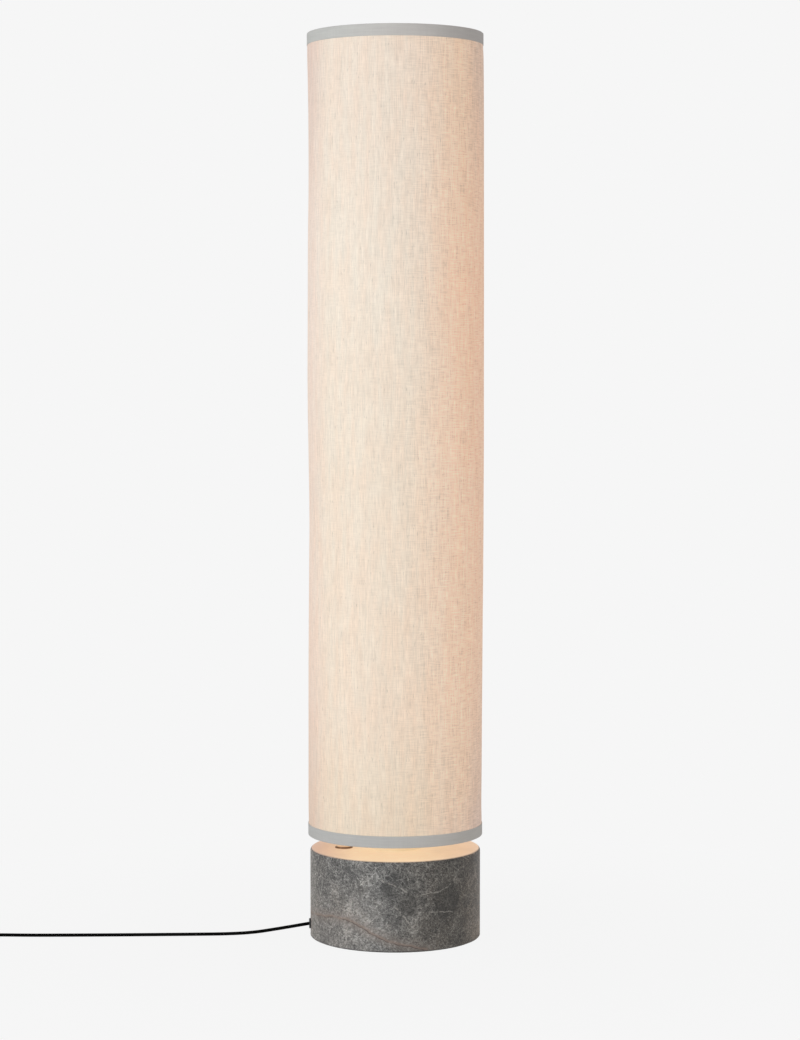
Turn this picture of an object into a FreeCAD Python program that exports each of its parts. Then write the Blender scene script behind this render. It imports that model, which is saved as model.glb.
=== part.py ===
import FreeCAD, Part
import math
import os

# Column floor lamp: a tall drum shade of linen that stands a finger's width above a round
# marble base. Millimetres. The origin is at the middle of the underside, +Z is up, and the
# cord and the dimmer button are on the -X side.

# ---------------------------------------------------------------- base
base_diameter = 227.4
marble_height = 118.8
pad_thickness = 1.2
pad_margin = 4.0
base_edge_radius = 4.0
base_foot_chamfer = 1.2
marble_wall = 25.0
slab_thickness = 35.0
plate_rim = 10.0
plate_thickness = 2.5
plate_recess = 0.3
plate_clearance = 0.4

# fasteners
cover_screw_count = 4
cover_screw_angle = 45.0
cover_screw_diameter = 4.0
cover_screw_head_diameter = 8.0
cover_screw_length = 12.0
screw_socket_across_flats = 2.5
screw_socket_depth = 1.4
insert_diameter = 7.0
insert_length = 10.0
insert_hole_depth = 14.0
driver_screw_diameter = 3.0
driver_screw_head_diameter = 6.0
driver_screw_head_height = 2.2
clearance = 0.2
cut_margin = 1.0

# ---------------------------------------------------------------- shade
shade_diameter = 231.4
shade_height = 1062.0
shade_gap = 18.0
fabric_thickness = 0.6
liner_thickness = 1.2
ribbon_width = 15.5
ribbon_thickness = 0.7
wire_diameter = 4.0
wire_clearance = 0.1
spider_arm_count = 3
top_hub_diameter = 34.0
top_hub_thickness = 4.0
top_hub_depth = 20.5
bottom_hub_wall = 4.0
bottom_hub_height = 8.0

# ---------------------------------------------------------------- light column
thread_diameter = 10.0
rod_bore = 5.6
rod_below_slab = 15.0
rod_above_foot = 28.0
washer_diameter = 40.0
washer_thickness = 2.5
nut_across_flats = 17.0
nut_height = 8.0
thin_nut_height = 6.0
foot_diameter = 74.0
foot_thickness = 5.0
boss_diameter = 28.0
boss_height = 12.0
profile_width = 30.0
profile_chamfer = 2.0
strip_count = 4
strip_width = 12.0
strip_thickness = 1.4
strip_seat_depth = 1.0
strip_end_margin = 12.0
chip_size = 5.0
chip_height = 0.8
chip_spacing = 40.0
diffuser_diameter = 70.0
diffuser_wall = 3.0
cap_flange = 3.0
cap_plug_depth = 8.0
column_top_inset = 50.0
hub_washer_diameter = 24.0
hub_washer_thickness = 1.5
finial_diameter = 16.0
finial_height = 12.0
finial_top = 3.0
finial_edge_radius = 2.5
lead_above_rod = 3.0

# ---------------------------------------------------------------- dimmer button
button_edge_distance = 44.7
bezel_diameter = 23.6
bezel_height = 1.4
cap_diameter = 20.4
cap_rim_height = 1.1
cap_crown = 0.4
button_travel = 0.8
button_clearance = 0.3
bezel_chamfer = 0.4
cap_seat = 0.2
barrel_diameter = 18.0
spring_bore = 14.0
spring_space = 12.0
guide_length = 4.0
stem_diameter = 8.0
clip_diameter = 12.0
clip_thickness = 1.2
clip_groove_depth = 0.8
clip_play = 0.1
spring_wire = 1.0
spring_coil_diameter = 11.0
spring_turns = 5
barrel_nut_across_flats = 24.0
barrel_nut_height = 5.0
barrel_nut_gap = 3.0
module_diameter = 30.0
module_height = 28.0
module_overlap = 7.0
module_edge_radius = 1.5
module_lead_height = 8.0

# ---------------------------------------------------------------- wiring inside the base
gland_height = 18.6
gland_flange_diameter = 13.7
gland_flange_thickness = 2.0
gland_rim_radius = 0.6
gland_body_diameter = 10.4
gland_reach = 8.0
gland_nut_across_flats = 16.0
gland_nut_height = 5.0
cord_diameter = 4.4
cord_clearance = 0.4
cord_seat = 2.5
cord_end_gap = 0.5
block_length = 24.0
block_width = 28.0
block_height = 16.0
block_place = -40.0
block_way_diameter = 4.8
block_way_depth = 4.0
block_ways = 3
driver_length = 110.0
driver_width = 42.0
driver_height = 24.0
driver_place = 32.0
driver_edge_radius = 2.0
driver_ear = 8.0
driver_ear_width = 14.0
driver_ear_thickness = 2.5
supply_lead_diameter = 4.0
led_lead_diameter = 4.0
dimmer_lead_diameter = 3.5
lead_end_gap = 0.15
lead_straight = 12.0
supply_block_y = 5.0
supply_driver_y = 12.0
led_driver_y = -14.0
dimmer_driver_y = -31.0
led_lead_depth = 10.0
dimmer_lead_depth = 6.0

# ---------------------------------------------------------------- cord
arc_share = 0.45
# The route on the floor: out of the gland, down to the floor and away to the coil.
cord_route = [
    (-113.2, 0.0, 18.8),
    (-130.0, 0.3, 16.2),
    (-160.0, 1.8, 11.4),
    (-190.0, 5.4, 6.6),
    (-225.0, 11.6, 4.1),
    (-275.0, 18.6, 3.2),
    (-330.0, 25.4, 2.5),
    (-385.0, 30.6, 2.2),
    (-440.0, 35.2, 2.2),
    (-490.0, 39.4, 2.3),
]
# From the top of the coil down to the plug.
tail_route = [
    (-611.4, -8.0, 16.4),
    (-614.6, -22.0, 12.4),
    (-617.8, -36.0, 9.2),
    (-620.0, -46.0, 8.5),
    (-622.1, -55.6, 8.5),
]
coil_entry_run = 40.0
coil_exit_run = 8.0
coil_centre = (-577.0, 11.6)
coil_entry_angle = 86.0
coil_outer_radius = 33.3
coil_pitch = 4.9
coil_layer_quarters = [11, 11, 11, 10]
tie_thickness = 0.8
tie_width = 9.0
tie_angle = 300.0
tie_clearance = 0.5
tie_edge_radius = 1.5
plug_width = 25.0
plug_thickness = 17.0
plug_length = 26.0
plug_edge_radius = 3.5
relief_length = 22.0
relief_tip_diameter = 6.6
relief_root_diameter = 10.0
blade_width = 6.35
blade_thickness = 1.5
blade_length = 17.0
blade_spacing = 12.7
blade_hole = 3.2
blade_hole_place = 5.0
blade_tip_chamfer = 1.2

# ---------------------------------------------------------------- heights and radii that follow
base_radius = base_diameter / 2
marble_bottom = pad_thickness
base_top = marble_bottom + marble_height
slab_bottom = base_top - slab_thickness
cavity_radius = base_radius - marble_wall
plate_radius = base_radius - plate_rim
plate_bottom = marble_bottom + plate_recess
plate_top = plate_bottom + plate_thickness
screw_circle = (cavity_radius + plate_radius) / 2

fabric_radius = shade_diameter / 2
liner_radius = fabric_radius - fabric_thickness
liner_inner_radius = liner_radius - liner_thickness
shade_bottom = base_top + shade_gap
shade_top = shade_bottom + shade_height
wire_radius = wire_diameter / 2
ring_radius = liner_inner_radius - wire_clearance - wire_radius
ring_inset = ribbon_thickness + wire_clearance + wire_radius

thread_bore = thread_diameter + 2 * clearance
foot_top = base_top + foot_thickness
boss_top = foot_top + boss_height
rod_bottom = slab_bottom - rod_below_slab
rod_top = boss_top + rod_above_foot
diffuser_radius = diffuser_diameter / 2
diffuser_inner_radius = diffuser_radius - diffuser_wall
diffuser_bottom = foot_top + cap_flange
diffuser_top = shade_top - column_top_inset
profile_top = diffuser_top - cap_plug_depth - button_clearance
hub_bottom = shade_top - top_hub_depth - top_hub_thickness
hub_top = hub_bottom + top_hub_thickness
finial_bottom = hub_top + hub_washer_thickness

button_x = -(base_radius - button_edge_distance)
bezel_top = base_top + bezel_height
cap_bottom = base_top + button_travel + button_clearance
shoulder_top = base_top - spring_space
shoulder_bottom = shoulder_top - guide_length
clip_top = shoulder_bottom - button_clearance
module_top = slab_bottom - barrel_nut_height - barrel_nut_gap
barrel_bottom = module_top - module_overlap
stem_bottom = barrel_bottom + button_travel + button_clearance
gland_face = -(base_radius + gland_flange_thickness)
gland_inner_end = -cavity_radius + gland_reach
cord_radius = cord_diameter / 2
block_entry = plate_top + block_height / 2
block_start = block_place - block_length / 2
block_end = block_place + block_length / 2
driver_face = driver_place - driver_width / 2
driver_top = plate_top + driver_height


# ---------------------------------------------------------------- shapes
def vec(x, y, z):
    return FreeCAD.Vector(x, y, z)


def disc(radius, low, high, x=0.0, y=0.0):
    return Part.makeCylinder(radius, high - low, vec(x, y, low))


def ring(outer, inner, low, high, x=0.0, y=0.0):
    return disc(outer, low, high, x, y).cut(disc(inner, low, high, x, y))


def bar_along_x(radius, start, end, y, z):
    return Part.makeCylinder(radius, end - start, vec(start, y, z), vec(1, 0, 0))


def box(x0, x1, y0, y1, z0, z1):
    return Part.makeBox(x1 - x0, y1 - y0, z1 - z0, vec(x0, y0, z0))


def rod_between(start, end, radius):
    along = end - start
    return Part.makeCylinder(radius, along.Length, start, along)


def hexagon(across_flats, low, high, x=0.0, y=0.0):
    corner = across_flats / math.sqrt(3)
    points = [
        vec(x + corner * math.cos(math.radians(60 * i)), y + corner * math.sin(math.radians(60 * i)), low)
        for i in range(6)
    ]
    points.append(points[0])
    return Part.Face(Part.makePolygon(points)).extrude(vec(0, 0, high - low))


def turned(outline):
    """The solid of revolution about Z of a closed outline of (radius, z) points."""
    points = [vec(r, 0, z) for r, z in outline]
    points.append(points[0])
    return Part.Face(Part.makePolygon(points)).revolve(vec(0, 0, 0), vec(0, 0, 1), 360)


def moved(shape, x=0.0, y=0.0, z=0.0, turn=0.0):
    shape = shape.copy()
    shape.rotate(vec(0, 0, 0), vec(0, 0, 1), turn)
    shape.translate(vec(x, y, z))
    return shape


def level_edges(shape, height):
    """The edges of shape that lie in the plane z = height."""
    return [
        edge for edge in shape.Edges
        if abs(edge.BoundBox.ZMin - height) < 1e-6 and abs(edge.BoundBox.ZMax - height) < 1e-6
    ]


def around(count, first=0.0):
    return [first + 360.0 * i / count for i in range(count)]


def on_circle(radius, angle):
    return radius * math.cos(math.radians(angle)), radius * math.sin(math.radians(angle))


# ---------------------------------------------------------------- cords
def tube(name, route, radius):
    """A tube of straight runs along the route, joined by tangent arcs."""
    points = [vec(*point) for point in route]
    edges = []
    radii = []
    start = points[0]
    for before, corner, after in zip(points, points[1:], points[2:]):
        arriving = (corner - before).normalize()
        leaving = (after - corner).normalize()
        half_turn = arriving.getAngle(leaving) / 2
        if half_turn < 1e-4:
            continue
        reach = arc_share * min((corner - before).Length, (after - corner).Length)
        bend = reach / math.tan(half_turn)
        radii.append(bend)
        arc_start = corner - arriving * reach
        arc_end = corner + leaving * reach
        inward = (leaving - arriving).normalize()
        arc_middle = corner + inward * (bend / math.cos(half_turn) - bend)
        edges.append(Part.LineSegment(start, arc_start).toShape())
        edges.append(Part.Arc(arc_start, arc_middle, arc_end).toShape())
        start = arc_end
    edges.append(Part.LineSegment(start, points[-1]).toShape())
    path = Part.Wire(edges)
    shape = swept(path, radius)
    expected = math.pi * radius ** 2 * path.Length
    print(name, "length", round(path.Length, 1), "least radius", round(min(radii), 1),
          "volume ratio", round(shape.Volume / expected, 4))
    print("  radii", [round(bend) for bend in radii])
    return shape


def swept(path, radius):
    first = path.Edges[0]
    start = first.valueAt(first.FirstParameter)
    heading = first.tangentAt(first.FirstParameter)
    section = Part.Wire([Part.Circle(start, heading, radius).toShape()])
    shape = path.makePipeShell([section], True, False)
    return Part.Solid(shape) if shape.ShapeType != "Solid" else shape


def arc_from(start, heading, end):
    """The arc that leaves start along heading and ends at end."""
    chord = end - start
    side = chord - heading * chord.dot(heading)
    if side.Length < 1e-9:
        return Part.LineSegment(start, end).toShape()
    side.normalize()
    radius = chord.Length ** 2 / (2 * chord.dot(side))
    centre = start + side * radius
    middle = centre + (start + chord * 0.5 - centre).normalize() * radius
    return Part.Arc(start, middle, end).toShape()


def two_arcs(start, start_heading, end, end_heading):
    """Two arcs that meet tangentially and join start to end along both headings."""
    chord = end - start
    both = start_heading + end_heading
    spread = 2 * (1 - start_heading.dot(end_heading))
    along = chord.dot(both)
    reach = (math.sqrt(along ** 2 + spread * chord.dot(chord)) - along) / spread
    meeting = (start + end + (start_heading - end_heading) * reach) * 0.5
    second = arc_from(end, end_heading * -1, meeting)
    second.reverse()
    return [arc_from(start, start_heading, meeting), second]


def winding_path(stations, lead):
    """A smooth wire through (angle, radius, z) stations a quarter turn apart, about Z.
    Its ends run straight for the length lead."""
    points = []
    headings = []
    for i, (angle, radius, z) in enumerate(stations):
        x, y = on_circle(radius, angle)
        points.append(vec(x, y, z))
        outward = 0.0
        climb = 0.0
        if 0 < i < len(stations) - 1:
            outward = (stations[i + 1][1] - stations[i - 1][1]) / math.pi
            climb = (stations[i + 1][2] - stations[i - 1][2]) / math.pi
        radial = vec(*on_circle(1.0, angle), 0)
        onward = vec(*on_circle(1.0, angle + 90), 0)
        headings.append((radial * outward + onward * radius + vec(0, 0, climb)).normalize())
    edges = []
    for i in range(len(points) - 1):
        edges += two_arcs(points[i], headings[i], points[i + 1], headings[i + 1])
    if lead > 0:
        edges.insert(0, Part.LineSegment(points[0] - headings[0] * lead, points[0]).toShape())
        edges.append(Part.LineSegment(points[-1], points[-1] + headings[-1] * lead).toShape())
    return Part.Wire(edges)


def least_gap(path, diameter, apart):
    """The least gap between two stretches of a winding that are apart along it."""
    places = []
    travelled = 0.0
    for edge in path.Edges:
        for point in edge.discretize(9)[:-1]:
            places.append((travelled, point))
            travelled += edge.Length / 8
    gaps = [
        (p - q).Length for i, (s, p) in enumerate(places) for t, q in places[i + 1:] if t - s > apart
    ]
    return min(gaps) - diameter


def coil_stations():
    """Layers that spiral in and out in turn, each a half turn of climb above the last."""
    stations = []
    inward = 0.0
    height = 0.0
    direction = 1
    quarter = 0
    for layer, quarters in enumerate(coil_layer_quarters):
        if layer > 0:
            inward += direction * coil_pitch / 4
            stations.append((quarter, inward, height + coil_pitch / 2))
            quarter += 1
            height += coil_pitch
            direction = -direction
            inward += direction * coil_pitch / 4
            stations.append((quarter, inward, height))
            quarter += 1
        else:
            stations.append((quarter, inward, height))
            quarter += 1
        for _ in range(quarters):
            inward += direction * coil_pitch / 4
            stations.append((quarter, inward, height))
            quarter += 1
    lowest = cord_radius + tie_thickness + tie_clearance / 2
    return [(coil_entry_angle + 90.0 * q, coil_outer_radius - i, lowest + h) for q, i, h in stations]


def coil_end(station, onward):
    """A point of the coil's first or last station, moved along the cord by onward."""
    angle, radius, z = station
    x, y = on_circle(radius, angle)
    dx, dy = on_circle(onward, angle + 90)
    return (coil_centre[0] + x + dx, coil_centre[1] + y + dy, z)


# ---------------------------------------------------------------- base pieces
def foot_pad():
    return disc(base_radius - pad_margin, 0, pad_thickness)


def marble_base():
    stone = disc(base_radius, marble_bottom, base_top)
    stone = stone.makeFillet(base_edge_radius, level_edges(stone, base_top))
    stone = stone.makeChamfer(base_foot_chamfer, level_edges(stone, marble_bottom))
    stone = stone.cut(disc(plate_radius + plate_clearance, marble_bottom, plate_top))
    stone = stone.cut(disc(cavity_radius, plate_top, slab_bottom))
    stone = stone.cut(disc(thread_bore / 2 + clearance, slab_bottom, base_top))
    stone = stone.cut(disc(barrel_diameter / 2 + plate_clearance, slab_bottom, base_top, button_x))
    bore = gland_body_diameter / 2 + clearance
    outside = -base_radius - cut_margin
    stone = stone.cut(bar_along_x(bore, outside, -cavity_radius + cut_margin, 0, gland_height))
    for angle in around(cover_screw_count, cover_screw_angle):
        x, y = on_circle(screw_circle, angle)
        hole = insert_diameter / 2 + clearance / 2
        stone = stone.cut(disc(hole, plate_top, plate_top + insert_hole_depth, x, y))
    return stone


def cover_plate():
    plate = disc(plate_radius, plate_bottom, plate_top)
    for angle in around(cover_screw_count, cover_screw_angle):
        x, y = on_circle(screw_circle, angle)
        plate = plate.cut(cover_screw(x, y, clearance))
    for y in driver_screw_places():
        hole = driver_screw_diameter / 2 + clearance
        plate = plate.cut(disc(hole, plate_bottom, plate_top, driver_place, y))
    return plate


def cover_screw(x, y, grow=0.0):
    """A countersunk screw with its head flush with the plate's underside."""
    head = cover_screw_head_diameter / 2 + grow
    shank = cover_screw_diameter / 2 + grow
    cone = Part.makeCone(head, shank, head - shank, vec(x, y, plate_bottom))
    length = cover_screw_length if grow == 0 else plate_thickness
    return cone.fuse(disc(shank, plate_bottom, plate_bottom + length, x, y)).removeSplitter()


def cover_screws():
    socket_top = plate_bottom + screw_socket_depth
    screws = []
    for angle in around(cover_screw_count, cover_screw_angle):
        x, y = on_circle(screw_circle, angle)
        socket = hexagon(screw_socket_across_flats, plate_bottom, socket_top, x, y)
        screws.append(cover_screw(x, y).cut(socket))
    return Part.makeCompound(screws)


def cover_inserts():
    bore = cover_screw_diameter / 2 + clearance / 2
    inserts = []
    for angle in around(cover_screw_count, cover_screw_angle):
        x, y = on_circle(screw_circle, angle)
        inserts.append(ring(insert_diameter / 2, bore, plate_top, plate_top + insert_length, x, y))
    return Part.makeCompound(inserts)


def cord_gland():
    flange_radius = gland_flange_diameter / 2
    flange = bar_along_x(flange_radius, gland_face, -base_radius, 0, gland_height)
    rim = [edge for edge in flange.Edges if abs(edge.BoundBox.XMax - gland_face) < 1e-6]
    flange = flange.makeFillet(gland_rim_radius, rim)
    body = bar_along_x(gland_body_diameter / 2, -base_radius, gland_inner_end, 0, gland_height)
    bore = cord_radius + cord_clearance
    passage = bar_along_x(bore, gland_face, gland_inner_end, 0, gland_height)
    return flange.fuse(body).cut(passage).removeSplitter()


def gland_nut():
    corner = gland_nut_across_flats / math.sqrt(3)
    face = -math.sqrt(cavity_radius ** 2 - corner ** 2) + clearance / 4
    nut = hexagon(gland_nut_across_flats, 0, gland_nut_height)
    nut = nut.cut(disc(gland_body_diameter / 2 + clearance, 0, gland_nut_height))
    nut.rotate(vec(0, 0, 0), vec(0, 1, 0), 90)
    nut.translate(vec(face, 0, gland_height))
    return nut


# ---------------------------------------------------------------- driver and wiring
def driver_screw_places():
    reach = driver_length / 2 + driver_ear / 2
    return [-reach, reach]


def led_driver():
    y0 = -driver_length / 2
    case = box(driver_face, driver_face + driver_width, y0, -y0, plate_top, driver_top)
    upright = [edge for edge in case.Edges if edge.BoundBox.ZLength > driver_height - 1e-6]
    case = case.makeFillet(driver_edge_radius, upright)
    ear_half = driver_ear_width / 2
    ear_top = plate_top + driver_ear_thickness
    case = case.fuse(box(driver_place - ear_half, driver_place + ear_half, y0 - driver_ear, -y0 + driver_ear,
                         plate_top, ear_top))
    hole = driver_screw_diameter / 2 + clearance
    for y in driver_screw_places():
        case = case.cut(disc(hole, plate_top, ear_top, driver_place, y))
    return case.removeSplitter()


def driver_screws():
    seat = plate_top + driver_ear_thickness
    screws = []
    for y in driver_screw_places():
        shank = disc(driver_screw_diameter / 2, plate_bottom, seat, driver_place, y)
        head = disc(driver_screw_head_diameter / 2, seat, seat + driver_screw_head_height, driver_place, y)
        screws.append(shank.fuse(head).removeSplitter())
    return Part.makeCompound(screws)


def terminal_block():
    half = block_width / 2
    top = plate_top + block_height
    block = box(block_start, block_end, -half, half, plate_top, top)
    step = block_width / block_ways
    for i in range(block_ways):
        y = -half + step * (i + 0.5)
        block = block.cut(disc(block_way_diameter / 2, top - block_way_depth, top, block_place, y))
    return block


def mains_lead():
    end = block_start - lead_end_gap
    route = [
        (gland_face + cord_seat + cord_end_gap, 0, gland_height),
        (gland_inner_end + clearance, 0, gland_height),
        ((gland_inner_end + end) / 2, 0, (gland_height + block_entry) / 2),
        (end - lead_straight / 2, 0, block_entry),
        (end, 0, block_entry),
    ]
    return tube("mains_lead", route, cord_radius)


def supply_lead():
    start = block_end + lead_end_gap
    end = driver_face - lead_end_gap
    route = [
        (start, supply_block_y, block_entry),
        (start + lead_straight, supply_block_y, block_entry),
        (end - lead_straight, supply_driver_y, block_entry),
        (end, supply_driver_y, block_entry),
    ]
    return tube("supply_lead", route, supply_lead_diameter / 2)


def dimmer_lead():
    start = button_x + module_diameter / 2 + lead_end_gap
    end = driver_face - lead_end_gap
    high = module_top - module_height + module_lead_height
    low = driver_top - dimmer_lead_depth
    route = [
        (start, 0, high),
        (start + lead_straight, 0, high),
        (end - lead_straight, dimmer_driver_y, low),
        (end, dimmer_driver_y, low),
    ]
    return tube("dimmer_lead", route, dimmer_lead_diameter / 2)


def led_lead():
    start = driver_face - lead_end_gap
    low = driver_top - led_lead_depth
    route = [
        (start, led_driver_y, low),
        (start - lead_straight, led_driver_y, low),
        (start - lead_straight, led_driver_y / 2, low + 2 * lead_straight),
        (0, 0, rod_bottom - lead_straight),
        (0, 0, rod_top + lead_above_rod),
    ]
    return tube("led_lead", route, led_lead_diameter / 2)


# ---------------------------------------------------------------- light column
def tie_rod():
    return ring(thread_diameter / 2, rod_bore / 2, rod_bottom, rod_top)


def rod_washer():
    return ring(washer_diameter / 2, thread_bore / 2, slab_bottom - washer_thickness, slab_bottom)


def nut(across_flats, low, height):
    return hexagon(across_flats, low, low + height).cut(disc(thread_bore / 2, low, low + height))


def rod_nut():
    return nut(nut_across_flats, slab_bottom - washer_thickness - nut_height, nut_height)


def column_foot():
    foot = disc(foot_diameter / 2, base_top, foot_top).fuse(disc(boss_diameter / 2, foot_top, boss_top))
    return foot.cut(disc(thread_bore / 2, base_top, boss_top)).removeSplitter()


def column_profile():
    half = profile_width / 2
    bar = box(-half, half, -half, half, boss_top, profile_top)
    upright = [edge for edge in bar.Edges if edge.BoundBox.ZLength > profile_width]
    bar = bar.makeChamfer(profile_chamfer, upright)
    bar = bar.cut(disc(thread_bore / 2, boss_top, profile_top))
    seat_half = strip_width / 2 + clearance
    seat = box(half - strip_seat_depth, half, -seat_half, seat_half, boss_top, profile_top)
    for angle in around(strip_count):
        bar = bar.cut(moved(seat, turn=angle))
    return bar


def led_strips():
    face = profile_width / 2 - strip_seat_depth
    strip = box(face, face + strip_thickness, -strip_width / 2, strip_width / 2,
                boss_top + strip_end_margin, profile_top - strip_end_margin)
    return Part.makeCompound([moved(strip, turn=angle) for angle in around(strip_count)])


def led_chips():
    face = profile_width / 2 - strip_seat_depth + strip_thickness
    low = boss_top + strip_end_margin
    length = profile_top - strip_end_margin - low
    count = int(length / chip_spacing)
    first = low + (length - (count - 1) * chip_spacing) / 2
    half = chip_size / 2
    chips = []
    for i in range(count):
        z = first + i * chip_spacing
        chip = box(face, face + chip_height, -half, half, z - half, z + half)
        chips += [moved(chip, turn=angle) for angle in around(strip_count)]
    return Part.makeCompound(chips)


def diffuser_tube():
    return ring(diffuser_radius, diffuser_inner_radius, diffuser_bottom, diffuser_top)


def diffuser_lower_cap():
    plug = diffuser_inner_radius - button_clearance
    cap = disc(diffuser_radius, foot_top, diffuser_bottom)
    cap = cap.fuse(disc(plug, diffuser_bottom, diffuser_bottom + cap_plug_depth))
    bore = boss_diameter / 2 + button_clearance
    return cap.cut(disc(bore, foot_top, diffuser_bottom + cap_plug_depth)).removeSplitter()


def diffuser_upper_cap():
    plug = diffuser_inner_radius - button_clearance
    cap = disc(plug, diffuser_top - cap_plug_depth, diffuser_top)
    cap = cap.fuse(disc(diffuser_radius, diffuser_top, diffuser_top + cap_flange))
    bore = disc(thread_bore / 2, diffuser_top - cap_plug_depth, diffuser_top + cap_flange)
    return cap.cut(bore).removeSplitter()


def top_stud():
    return disc(thread_diameter / 2, profile_top - rod_above_foot, finial_bottom + finial_height - finial_top)


def cap_nut():
    return nut(nut_across_flats, diffuser_top + cap_flange, thin_nut_height)


def hub_nut():
    return nut(nut_across_flats, hub_bottom - thin_nut_height, thin_nut_height)


def hub_washer():
    return ring(hub_washer_diameter / 2, thread_bore / 2, hub_top, finial_bottom)


def finial_nut():
    top = finial_bottom + finial_height
    knob = disc(finial_diameter / 2, finial_bottom, top)
    knob = knob.makeFillet(finial_edge_radius, level_edges(knob, top))
    return knob.cut(disc(thread_bore / 2, finial_bottom, top - finial_top + clearance))


# ---------------------------------------------------------------- shade
def wire_ring(height):
    return Part.makeTorus(ring_radius, wire_radius, vec(0, 0, height))


def top_ring():
    return wire_ring(shade_top - ring_inset)


def bottom_ring():
    return wire_ring(shade_bottom + ring_inset)


def spider(hub_radius, hub_thickness, bore, reach, rise):
    """A hub about z = 0 with straight wire arms that climb by rise, coped to fit the ring."""
    half = hub_thickness / 2
    shape = disc(hub_radius, -half, half)
    for angle in around(spider_arm_count):
        inner = vec(*on_circle(reach, angle), 0)
        outer = vec(*on_circle(ring_radius, angle), rise)
        shape = shape.fuse(rod_between(inner, outer, wire_radius))
    shape = shape.cut(wire_ring(rise)).cut(disc(bore, -hub_thickness, hub_thickness))
    return max(shape.removeSplitter().Solids, key=lambda solid: solid.Volume)


def top_spider():
    middle = (hub_bottom + hub_top) / 2
    hub_radius = top_hub_diameter / 2
    reach = hub_radius - wire_radius
    rise = shade_top - ring_inset - middle
    return moved(spider(hub_radius, top_hub_thickness, thread_bore / 2, reach, rise), z=middle)


def bottom_spider():
    middle = shade_bottom + ring_inset
    bore = diffuser_radius + button_clearance
    reach = bore + wire_radius
    return moved(spider(bore + bottom_hub_wall, bottom_hub_height, bore, reach, 0), z=middle)


def shade_layer(outer, inner):
    return ring(outer, inner, shade_bottom + ribbon_thickness, shade_top - ribbon_thickness)


def shade_liner():
    return shade_layer(liner_radius, liner_inner_radius)


def shade_fabric():
    return shade_layer(fabric_radius, liner_radius)


def ribbon(edge, inward):
    """A ribbon bound over an edge of the shade: outside it, over it and over the wire."""
    outer = fabric_radius + ribbon_thickness
    inner = ring_radius - wire_radius
    lip = edge + inward * ribbon_thickness
    far = edge + inward * ribbon_width
    outside = [(inner, edge), (outer, edge), (outer, far)]
    inside = [(fabric_radius, far), (fabric_radius, lip), (inner, lip)]
    return turned(outside + inside)


def top_trim():
    return ribbon(shade_top, -1)


def bottom_trim():
    return ribbon(shade_bottom, 1)


# ---------------------------------------------------------------- dimmer button
def button_barrel():
    cap_space = cap_diameter / 2 + button_clearance
    barrel = disc(bezel_diameter / 2, base_top, bezel_top)
    barrel = barrel.makeChamfer(bezel_chamfer, level_edges(barrel, bezel_top))
    barrel = barrel.fuse(disc(barrel_diameter / 2, barrel_bottom, base_top))
    barrel = barrel.cut(disc(cap_space, base_top + cap_seat, bezel_top))
    barrel = barrel.cut(disc(spring_bore / 2, shoulder_top, base_top + cap_seat))
    barrel = barrel.cut(disc(stem_diameter / 2 + button_clearance, shoulder_bottom, shoulder_top))
    barrel = barrel.cut(disc(spring_bore / 2, barrel_bottom, shoulder_bottom))
    return moved(barrel.removeSplitter(), x=button_x)


def barrel_nut():
    low = slab_bottom - barrel_nut_height
    shape = hexagon(barrel_nut_across_flats, low, slab_bottom, button_x)
    return shape.cut(disc(barrel_diameter / 2 + clearance, low, slab_bottom, button_x))


def dimmer_button():
    rim = cap_diameter / 2
    rim_top = cap_bottom + cap_rim_height
    cap = disc(rim, cap_bottom, rim_top)
    sphere_radius = (rim ** 2 + cap_crown ** 2) / (2 * cap_crown)
    crown = Part.makeSphere(sphere_radius, vec(0, 0, rim_top + cap_crown - sphere_radius))
    cap = cap.fuse(crown.common(disc(rim, rim_top, rim_top + 2 * cap_crown)))
    stem = disc(stem_diameter / 2, stem_bottom, cap_bottom)
    groove_radius = stem_diameter / 2 - clip_groove_depth
    groove_bottom = clip_top - clip_thickness - clip_play
    groove = ring(stem_diameter, groove_radius, groove_bottom, clip_top + clip_play)
    return moved(cap.fuse(stem).cut(groove).removeSplitter(), x=button_x)


def button_clip():
    bore = stem_diameter / 2 - clip_groove_depth + clip_play
    low = clip_top - clip_thickness
    clip = ring(clip_diameter / 2, bore, low, clip_top)
    slot = bore / math.sqrt(2)
    clip = clip.cut(box(0, clip_diameter, -slot, slot, low, clip_top))
    return moved(clip, x=button_x)


def button_spring():
    end = spring_wire / 2 + clearance / 4
    low = shoulder_top + end
    high = cap_bottom - end
    quarters = 4 * spring_turns
    stations = [
        (90.0 * i, spring_coil_diameter / 2, low + (high - low) * i / quarters) for i in range(quarters + 1)
    ]
    path = winding_path(stations, 0.0)
    print("button_spring gap", round(least_gap(path, spring_wire, 6 * spring_wire), 2))
    return moved(swept(path, spring_wire / 2), x=button_x)


def dimmer_module():
    radius = module_diameter / 2
    low = module_top - module_height
    case = disc(radius, low, module_top)
    case = case.makeFillet(module_edge_radius, level_edges(case, low))
    socket = disc(barrel_diameter / 2 + clearance, barrel_bottom, module_top)
    return moved(case.cut(socket), x=button_x)


# ---------------------------------------------------------------- cord and plug
def mains_cord():
    first = coil_stations()[0]
    arriving = [coil_end(first, -cord_diameter - coil_entry_run), coil_end(first, -cord_diameter)]
    return tube("mains_cord", cord_route + arriving, cord_radius)


def cord_coil():
    path = winding_path(coil_stations(), cord_diameter)
    shape = swept(path, cord_radius)
    expected = math.pi * cord_radius ** 2 * path.Length
    print("cord_coil length", round(path.Length, 1), "turns", (len(coil_stations()) - 1) / 4,
          "gap", round(least_gap(path, cord_diameter, 8 * cord_diameter), 2),
          "volume ratio", round(shape.Volume / expected, 4))
    return moved(shape, coil_centre[0], coil_centre[1])


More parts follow.
